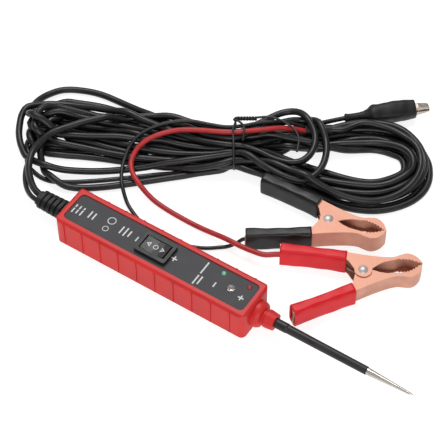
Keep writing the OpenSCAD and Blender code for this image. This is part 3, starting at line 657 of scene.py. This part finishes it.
SPRING_WIRE = 1.3
SPRING_R = 3.4
SPRING_START = 100
SPRING_TURNS = 5 + 160 / 360
SPRING_PITCH = SPRING_WIRE + 0.12
SPRING_LEG = [(-18, 13.3), (-7.4, 9.9)]
GROUND_SPRING_WIRE = 0.45
GROUND_SPRING_R = 1.15
GROUND_SPRING_TURNS = 3
GROUND_SPRING_HALF = 0.9
GROUND_LEG = (-9, 1.5)


def winding(r, start, turns, half, steps):
    """A coil about the origin, from height -half to half."""
    angles = np.radians(start + 360 * turns * np.arange(steps + 1) / steps)
    return [(r * math.cos(a), r * math.sin(a), half * (2 * k / steps - 1)) for k, a in enumerate(angles)]


def make_spring(m, name, still, moving, place, d):
    """A torsion spring: the coil and its leg in the still arm, and the leg that goes with the moving arm."""
    for part, line, body in (("coil", still, "root"), ("leg", moving, name.split("_")[0] + "_jaw")):
        wire = tube(f"{name}_{part}", MM * np.array([place(*p) for p in line]), d, m["spring_wire"], body)
        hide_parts(name)


def make_springs(m):
    """The springs of the two battery clips and of the ground clip."""
    half = SPRING_PITCH * SPRING_TURNS / 2
    coil = winding(SPRING_R, SPRING_START, SPRING_TURNS, half, 150)
    low = [(x, y, -half) for x, y in SPRING_LEG]
    high = [(x, -y, half) for x, y in SPRING_LEG[::-1]]
    make_spring(m, "red_spring", low + coil, [coil[-1]] + high,
                lambda x, y, z: cad_row(RED_AT, RED_TURN, x, y, CLIP_Z + z), SPRING_WIRE)
    make_spring(m, "black_spring", coil + high, low + [coil[0]],
                lambda x, y, z: cad_row(BLACK_AT, BLACK_TURN, x, y, CLIP_Z + z), SPRING_WIRE)
    half = GROUND_SPRING_HALF
    coil = winding(GROUND_SPRING_R, 180, GROUND_SPRING_TURNS, half, 60)
    leg_x, leg_y = GROUND_LEG
    turn = HANK_TURN + GROUND_TURN
    at = to_row([(*GROUND_AT, 0)])[0] / MM
    make_spring(m, "ground_spring", [(leg_x, -leg_y, -half)] + coil, [coil[-1], (leg_x, leg_y, half)],
                lambda x, y, z: cad_row(at, turn, x, -z, GROUND_Z + y), GROUND_SPRING_WIRE)


TIE_D = 2 * TIE_R + 0.2
TIE_LOWEST = TIE_R + 0.2
RING_FROM = 75
RING_SWEEP = 350
RING_STEPS = 28
RING_LEAN = 1.6
TWIST_FROM = (14, 13.6, 20)
TWIST_L = 12
TWIST_HALF_TURNS = 7
TWIST_R = (0.8, 0.64)
TWIST_POINTS = 36
TWIST_TO_SHORT = [(0.6, 12, 20.6), (3.2, 10.6, 21.2)]
TIE_STEP = 0.6


def twisted(side):
    """One of the two wires of the twist."""
    x, y, z = TWIST_FROM
    line = []
    for t in np.linspace(0, 1, TWIST_POINTS):
        angle = TWIST_HALF_TURNS * math.pi * t
        line.append((x - TWIST_L * t, y + side * TWIST_R[0] * math.cos(angle),
                     z + side * TWIST_R[1] * math.sin(angle)))
    return line


def make_tie(m):
    """The twist tie: its ring about the bundle, the twist, its loose end and its short end."""
    ring = []
    for i in range(RING_STEPS + 1):
        a = math.radians(RING_FROM + RING_SWEEP * i / RING_STEPS)
        ring.append((RING_LEAN * i / RING_STEPS, TIE_CENTRE[0] + TIE_SIZE[0] * math.cos(a),
                     max(TIE_LOWEST, TIE_CENTRE[1] + TIE_SIZE[1] * math.sin(a))))
    long_end = TIE_TAIL[:-2] + twisted(1) + ring
    short_end = twisted(-1) + TWIST_TO_SHORT + TIE_SHORT
    for name, line in (("tie_wire", long_end), ("tie_short_end", short_end)):
        tie = tube(name, to_row(smooth_line(line, TIE_STEP)), TIE_D, m["tie_cover"])
        if name == "tie_wire":
            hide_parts("twist_tie")


def make_materials():
    """Every material by its name."""
    m = {}
    m["case_red"] = surface("case_red", (0.50, 0.014, 0.014), (0.58, 0.022, 0.020), 60, (0.4, 0.52),
                            bump=0.25, bump_scale=2600, specular=0.3)
    m["label_grey"] = surface("label_grey", (0.034, 0.034, 0.038), (0.042, 0.042, 0.046), 90, (0.5, 0.6),
                              bump=0.1, bump_scale=4000, specular=0.3)
    m["bezel_black"] = surface("bezel_black", (0.009, 0.009, 0.010), (0.015, 0.015, 0.016), 200, (0.4, 0.52),
                               bump=0.15, bump_scale=3000, specular=0.35)
    m["rocker_gloss"] = surface("rocker_gloss", (0.006, 0.006, 0.006), (0.010, 0.010, 0.010), 200, (0.3, 0.4),
                                specular=0.3)
    m["screw_steel"] = surface("screw_steel", (0.5, 0.5, 0.5), (0.68, 0.68, 0.68), 900, (0.25, 0.4),
                               metallic=1)
    m["brass"] = surface("brass", (0.7, 0.5, 0.2), (0.8, 0.6, 0.3), 500, (0.25, 0.4), metallic=1)
    m["board_mask"] = surface("board_mask", (0.01, 0.12, 0.04), (0.02, 0.17, 0.06), 300, (0.25, 0.35))
    m["led_green"] = surface("led_green", (0.18, 0.55, 0.32), (0.28, 0.68, 0.42), 300, (0.08, 0.15),
                             transmission=0.2, coat=0.5)
    m["led_red"] = surface("led_red", (0.42, 0.02, 0.03), (0.55, 0.04, 0.05), 300, (0.08, 0.15),
                           transmission=0.2, coat=0.5)
    m["lamp_clear"] = surface("lamp_clear", (0.86, 0.80, 0.76), (0.95, 0.90, 0.88), 300, (0.03, 0.08),
                              transmission=0.8, coat=0.4)
    m["epoxy_black"] = surface("epoxy_black", (0.02, 0.02, 0.02), (0.04, 0.04, 0.04), 400, (0.5, 0.65))
    m["tan_part"] = surface("tan_part", (0.5, 0.34, 0.15), (0.65, 0.46, 0.22), 400, (0.4, 0.55))
    m["nickel"] = surface("nickel", (0.40, 0.345, 0.295), (0.56, 0.49, 0.43), 240, (0.3, 0.44), bump=0.12,
                          bump_scale=1500, metallic=1, stretch=(0.3, 2, 2))
    m["probe_steel"] = surface("probe_steel", (0.46, 0.42, 0.39), (0.60, 0.56, 0.52), 120, (0.2, 0.3),
                               metallic=1, stretch=(0.2, 2, 2))
    m["sleeve_black"] = surface("sleeve_black", (0.012, 0.011, 0.011), (0.021, 0.019, 0.019), 120,
                                (0.36, 0.48), bump=0.2, bump_scale=1200, specular=0.33)
    m["soft_black"] = surface("soft_black", (0.006, 0.006, 0.007), (0.013, 0.013, 0.014), 150, (0.42, 0.54),
                              bump=0.2, bump_scale=1800, specular=0.28)
    m["wire_red"] = surface("wire_red", (0.4, 0.02, 0.02), (0.5, 0.04, 0.04), 300, (0.4, 0.5))
    m["copper"] = surface("copper", (0.50, 0.235, 0.16), (0.63, 0.32, 0.23), 110, (0.4, 0.56), bump=0.25,
                          bump_scale=800, metallic=0.4, specular=0.4)
    m["rivet_bright"] = surface("rivet_bright", (0.50, 0.46, 0.45), (0.66, 0.62, 0.60), 300, (0.42, 0.54),
                                metallic=0.7)
    m["spring_wire"] = surface("spring_wire", (0.42, 0.42, 0.43), (0.62, 0.62, 0.63), 500, (0.22, 0.36),
                               metallic=1)
    m["vinyl_red"] = surface("vinyl_red", (0.56, 0.004, 0.010), (0.65, 0.008, 0.016), 70, (0.34, 0.46),
                             bump=0.15, bump_scale=700, specular=0.25)
    m["vinyl_black"] = surface("vinyl_black", (0.006, 0.006, 0.007), (0.012, 0.012, 0.013), 90, (0.34, 0.46),
                               bump=0.15, bump_scale=700, specular=0.28)
    m["cable_jacket"] = surface("cable_jacket", (0.004, 0.004, 0.005), (0.010, 0.010, 0.011), 120,
                                (0.32, 0.44), bump=0.12, bump_scale=1400, specular=0.4)
    m["black_jacket"] = surface("black_jacket", (0.005, 0.005, 0.006), (0.011, 0.011, 0.012), 160,
                                (0.32, 0.44), bump=0.12, bump_scale=1400, specular=0.4)
    m["red_jacket"] = surface("red_jacket", (0.36, 0.018, 0.020), (0.44, 0.028, 0.030), 160, (0.36, 0.48),
                              bump=0.12, bump_scale=1400, specular=0.35)
    m["tie_cover"] = surface("tie_cover", (0.006, 0.006, 0.006), (0.012, 0.012, 0.012), 300, (0.38, 0.52))
    m["print_white"] = surface("print_white", (0.50, 0.50, 0.50), (0.58, 0.58, 0.58), 500, (0.45, 0.55))
    return m


NODE_MATERIAL = {
    "case_red": ["upper_case", "bottom_cover", "probe_collar"],
    "label_grey": ["face_label"],
    "bezel_black": ["switch_housing", "cable_clamp"],
    "rocker_gloss": ["rocker_button"],
    "screw_steel": ["case_screws", "clamp_screws", "led_legs", "rocker_pin", "ground_pin"],
    "rivet_bright": ["red_rivet", "black_rivet"],
    "brass": ["switch_terminals", "probe_socket"],
    "board_mask": ["circuit_board"],
    "led_green": ["negative_led"],
    "led_red": ["positive_led"],
    "lamp_clear": ["lamp"],
    "epoxy_black": ["buzzer", "power_transistors"],
    "tan_part": ["circuit_breaker", "small_components"],
    "nickel": ["ground_fixed_jaw", "ground_moving_jaw"],
    "probe_steel": ["probe_rod"],
    "sleeve_black": ["probe_sleeve"],
    "soft_black": ["strain_relief", "ground_boot", "cable_splitter"],
    "wire_red": ["internal_wires"],
    "copper": ["red_fixed_arm", "red_moving_arm", "black_fixed_arm", "black_moving_arm", "red_crimp",
               "black_crimp"],
    "vinyl_red": ["red_fixed_sleeve", "red_moving_sleeve"],
    "vinyl_black": ["black_fixed_sleeve", "black_moving_sleeve"],
}


def paint_nodes(m):
    """Gives each CAD node its material, those hidden in the case too."""
    for name, members in NODE_MATERIAL.items():
        for node in members:
            mesh = nodes[node].data
            mesh.materials.clear()
            mesh.materials.append(m[name])


# ---------------------------------------------------------------- meshes
def mesh_piece(name, points, faces, material, body="root", smooth_angle=40):
    """A mesh in row metres from points in row millimetres."""
    mesh = bpy.data.meshes.new(name)
    mesh.from_pydata([tuple(MM * c for c in p) for p in points], [], faces)
    mesh.validate()
    mesh.update()
    mesh.polygons.foreach_set("use_smooth", [True] * len(mesh.polygons))
    mesh.set_sharp_from_angle(angle=math.radians(smooth_angle))
    mesh.materials.append(material)
    piece = bpy.data.objects.new(name, mesh)
    bpy.context.scene.collection.objects.link(piece)
    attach(piece, body)
    return piece


def lofted(rings):
    """Points and faces of a closed skin through rings of equal size, which closes on itself."""
    count, around = len(rings), len(rings[0])
    points = [p for ring in rings for p in ring]
    faces = []
    for i in range(count):
        for k in range(around):
            a, b = i * around + k, i * around + (k + 1) % around
            c, d = ((i + 1) % count) * around + (k + 1) % around, ((i + 1) % count) * around + k
            faces.append((a, b, c, d))
    return points, faces


def oval(half_w, half_h, power, around):
    """A rounded rectangle as a superellipse."""
    ring = []
    for a in np.linspace(0, 2 * math.pi, around, endpoint=False):
        c, s = math.cos(a), math.sin(a)
        ring.append((half_w * math.copysign(abs(c) ** (2 / power), c),
                     half_h * math.copysign(abs(s) ** (2 / power), s)))
    return ring


VINYL_HALF = (3.4, 7.05)
VINYL_T = 0.75
VINYL_SQUARENESS = 5
VINYL_Z_LIMIT = 7.09
VINYL_PAST = 0.4
VINYL_LONGER = 1.2
VINYL_LIP = 0.25
LIP_SHARE = 0.4
BORE_SHARE = 1.02
FLARE = 0.35
FLARE_L = 2.0
FLARE_SIDE = 0.7
WAVE = 0.1
PINCH = 0.3
PINCH_FROM = 0.7
BOW = 0.2
LONG_CREASE = 0.16
FINE_CREASE = 0.09


def vinyl_sleeve(name, at, turn, side, body, material, seed):
    """A dipped vinyl tube on one handle, flared a little at both ends, bowed and creased."""
    length = (SLEEVE_FROM - SLEEVE_TO + VINYL_LONGER) / math.cos(HANDLE_SLOPE)
    centre_drop = CHANNEL_D / math.cos(HANDLE_SLOPE) / 2
    start = np.array([SLEEVE_FROM + VINYL_PAST, handle_y(SLEEVE_FROM + VINYL_PAST) - centre_drop])
    along = np.array([-math.cos(HANDLE_SLOPE), math.sin(HANDLE_SLOPE)])
    across = np.array([math.sin(HANDLE_SLOPE), math.cos(HANDLE_SLOPE)])
    steps, around = 44, 56

    def ring(x, inset):
        share = x / length
        flare = FLARE * math.exp(-x / FLARE_L) + WAVE * math.sin(share * 9 + seed)
        flare += FLARE * (2 * share - 1) ** 2
        pinch = PINCH * max(0, share - PINCH_FROM) / (1 - PINCH_FROM)
        bow = BOW * math.sin(math.pi * share)
        half_w = VINYL_HALF[0] - inset + flare * FLARE_SIDE + pinch
        place = []
        for k, (w, h) in enumerate(oval(half_w, VINYL_HALF[1] - inset, VINYL_SQUARENESS, around)):
            turn_share = 2 * math.pi * k / around
            crease = LONG_CREASE * math.sin(3 * turn_share + 9 * share + seed)
            crease *= math.sin(7 * share + 2 * seed)
            crease += FINE_CREASE * math.sin(5 * turn_share - 19 * share + 2 * seed)
            outward = 1 + crease / 6
            spot = start + along * x + across * (w * outward + bow)
            z = CLIP_Z + max(-VINYL_Z_LIMIT, min(VINYL_Z_LIMIT, h * (1 + crease / 14)))
            place.append(cad_row(at, turn, spot[0], side * spot[1], z))
        return place

    outer = [ring(length * i / steps, 0) for i in range(steps + 1)]
    lip = [ring(length + VINYL_LIP, VINYL_T * LIP_SHARE), ring(length, VINYL_T), ring(length - 1.1, VINYL_T)]
    inner = [ring(length * i / 6, VINYL_T * BORE_SHARE) for i in range(5, 0, -1)]
    mouth = [ring(0.0, VINYL_T), ring(-VINYL_LIP, VINYL_T * LIP_SHARE)]
    points, faces = lofted(outer + lip + inner + mouth)
    if side > 0:
        faces = [f[::-1] for f in faces]
    return mesh_piece(name, points, faces, material, body, 60)


# Stations along the boot's outside and its bore, and the radius at each
BOOT_SHAPE = [(-43, 2.2), (-42.5, 2.75), (-41.8, 2.8), (-41, 2.4), (-38, 2.3), (-34, 2.45), (-31, 2.9),
              (-28.5, 3.9), (-26.8, 5.2), (-25.2, 5.85), (-23.4, 5.75), (-21.5, 5.6), (-18, 5.85),
              (-12, 6.25), (-6, 6.05), (-2, 5.7), (0.4, 5.5), (1, 5.3)]
BOOT_BORE = [(0.9, 4.75), (-4, 5.0), (-14, 5.1), (-21, 4.9), (-26, 3.6), (-31, 1.6), (-42.9, 1.56)]
BOOT_ROLL = math.radians(20)
BODY_FROM = -28
BODY_BLEND = 8
BODY_FLAT = 0.06
BODY_DENT = 0.1
SHOULDER_FOLD = 0.25
SHOULDER_X = -25
SHOULDER_L = 2.2
BODY_SQUARENESS = 3.0
BORE_SQUARENESS = 2.2
BOOT_LOWEST = 0.02


def make_boot(m):
    """The rubber boot: a thin neck with a lip, a shoulder, and a flat-sided body that is cut off square."""
    around = 48
    c, s = math.cos(BOOT_ROLL), math.sin(BOOT_ROLL)

    def ring(x, r, body_power):
        place = []
        body = min(1, max(0, (x - BODY_FROM) / BODY_BLEND))
        power = 2 + (body_power - 2) * body
        for k, (y, z) in enumerate(oval(r, r * (1 - BODY_FLAT * body), power, around)):
            turn_share = 2 * math.pi * k / around
            dent = BODY_DENT * body * math.sin(2 * turn_share + x * 0.5) * math.sin(x * 0.35)
            fold = SHOULDER_FOLD * math.exp(-((x - SHOULDER_X) / SHOULDER_L) ** 2)
            dent += fold * math.sin(3 * turn_share + 1)
            y, z = y * (1 + dent / 6), z * (1 + dent / 6)
            y, z = y * c - z * s, y * s + z * c
            u, v, _ = on_boot(x)
            place.append((u - y * math.sin(GROUND_TURN), v + y * math.cos(GROUND_TURN),
                          max(BOOT_LOWEST, GROUND_Z + z)))
        return place

    xs = np.linspace(BOOT_MOUTH - BOOT_L, BOOT_MOUTH, 89)
    shape = np.array(BOOT_SHAPE)
    rings = [ring(x, float(np.interp(x, shape[:, 0], shape[:, 1])), BODY_SQUARENESS) for x in xs]
    rings += [ring(x, r, BORE_SQUARENESS) for x, r in BOOT_BORE]
    points, faces = lofted([[tuple(p) for p in to_row(r) / MM] for r in rings])
    boot = mesh_piece("ground_rubber", points, [f[::-1] for f in faces], m["soft_black"], "root", 50)
    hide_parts("ground_boot")


LABEL_TOP = 19.8
PRINT_T = 0.05
SINK = 0.01


def printed(name, outlines, z_of, material, body="root"):
    """Thin marks: each outline of (x, y) points becomes a flat slab on the surface z_of."""
    points, faces = [], []
    for outline in outlines:
        n, base = len(outline), len(points)
        points += [(x, y, z_of(x)) for x, y in outline] + [(x, y, z_of(x) + PRINT_T) for x, y in outline]
        faces += [tuple(base + k for k in range(n))[::-1], tuple(base + n + k for k in range(n))]
        faces += [(base + k, base + (k + 1) % n, base + n + (k + 1) % n, base + n + k) for k in range(n)]
    return mesh_piece(name, points, faces, material, body, 30)


def bar(x, y, w, l):
    """A bar w wide along x and l long along y."""
    return [(x - w / 2, y - l / 2), (x + w / 2, y - l / 2), (x + w / 2, y + l / 2), (x - w / 2, y + l / 2)]


def ring_marks(x, y, r, t, sides=24):
    """A ring as short blocks round a circle."""
    marks = []
    for k in range(sides):
        a, b = 2 * math.pi * k / sides, 2 * math.pi * (k + 1) / sides
        corners = ((r, a), (r + t, a), (r + t, b), (r, b))
        marks.append([(x + q * math.cos(c), y + q * math.sin(c)) for q, c in corners])
    return marks


# The label's minus signs, plus signs, rules (x, y, length) and rings (x, y, radius, line)
MINUS_AT = [(-55.5, 0.2), (-0.9, -2.6)]
PLUS_AT = [(-29.8, 0.2), (16.3, -2.2)]
RULES = [(-98.6, -2.4, 3.6), (-98.6, 1.3, 2.2), (-95.9, -2.2, 3.0), (-95.9, 1.2, 2.6), (-93.2, -1.8, 4.0),
         (-93.2, 1.6, 1.6), (-88.2, 0.2, 5.4), (-85.4, 0.2, 5.0), (-66.6, 0.9, 5.6), (-63.8, 0.9, 6.4),
         (-61.0, 0.9, 4.6), (-11.8, -5.2, 7), (-11.8, 4.2, 9), (-9.4, -4.5, 6)]
LABEL_RINGS = [(-75, 3.2, 2.1, 0.5), (-75, -3.4, 1.5, 0.4)]
SIGN_L = 3.6
SIGN_W = 0.8
PLUS_ARM = 1.4
PLUS_ARM_AT = 1.1
RULE_W = 0.9


def make_label_print(m):
    """Generic signs and plain rules where a real label has its wording."""
    marks = [bar(x, y, SIGN_W, SIGN_L) for x, y in MINUS_AT]
    for x, y in PLUS_AT:
        marks.append(bar(x, y, SIGN_W, SIGN_L))
        marks += [bar(x - PLUS_ARM_AT, y, PLUS_ARM, SIGN_W), bar(x + PLUS_ARM_AT, y, PLUS_ARM, SIGN_W)]
    marks += [bar(x, y, RULE_W, long) for x, y, long in RULES]
    for x, y, r, t in LABEL_RINGS:
        marks += ring_marks(x, y, r, t)
    piece = printed("label_marks", marks, lambda x: LABEL_TOP - SINK, m["print_white"])


SWITCH_X = -42.3
ROCKER_STATIONS = [0, 3.8, 7.6]
ROCKER_HEIGHTS = [21.7, 21.9, 22.4]
ARROW = (6.0, 3.6, 1.7)
ARROW_T = 0.45
ARROW_TIP = (0.6, 0.42)
ARROW_FOOT = 0.5
RING_R = 1.15


def rocker_top(x):
    """Height of the rocker's dished top."""
    return float(np.interp(abs(x - SWITCH_X), ROCKER_STATIONS, ROCKER_HEIGHTS)) - SINK


def make_rocker_print(m):
    """An arrowhead at each end and a ring in the middle."""
    reach, root, half = ARROW
    marks = []
    for side in (-1, 1):
        tip, back = SWITCH_X + side * reach, SWITCH_X + side * root
        inner = tip - side * ARROW_TIP[0]
        foot = half - ARROW_FOOT
        marks.append([(tip, 0), (inner, ARROW_TIP[1]), (back, -foot), (back, -half)][::side])
        marks.append([(tip, 0), (back, half), (back, foot), (inner, -ARROW_TIP[1])][::side])
        marks.append(bar(back + side * ARROW_T / 2, 0, ARROW_T, 2 * half))
    marks += ring_marks(SWITCH_X, 0, RING_R, ARROW_T)
    piece = printed("rocker_marks", marks, rocker_top, m["print_white"], "rocker")


def make_sleeves(m):
    """The four vinyl sleeves; the black clip's fixed arm is its lower one."""
    for colour, at, turn, fixed_side in (("red", RED_AT, RED_TURN, 1), ("black", BLACK_AT, BLACK_TURN, -1)):
        for kind, side, body in (("fixed", fixed_side, "root"), ("moving", -fixed_side, colour + "_jaw")):
            node = f"{colour}_{kind}_sleeve"
            piece = vinyl_sleeve(f"{colour}_{kind}_vinyl", at, turn, side, body, m["vinyl_" + colour],
                                 1.3 + len(node) * 0.7 + side)
            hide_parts(node)


def soften(node, width, segments=2, angle=35):
    """Rounds the edges of a CAD node for the eye."""
    bevel = nodes[node].modifiers.new("soft_edges", "BEVEL")
    bevel.width = width * MM
    bevel.segments = segments
    bevel.limit_method = "ANGLE"
    bevel.angle_limit = math.radians(angle)
    bevel.harden_normals = False


# ---------------------------------------------------------------- the scene
make_camera()
materials = make_materials()
make_studio()
make_sleeves(materials)
make_boot(materials)
make_springs(materials)
make_cords(materials)
make_tie(materials)
make_label_print(materials)
make_rocker_print(materials)
paint_nodes(materials)
for arm in ("red_fixed_arm", "red_moving_arm", "black_fixed_arm", "black_moving_arm"):
    soften(arm, 0.25)
soften("rocker_button", 0.5, 3)
soften("switch_housing", 0.4, 3)
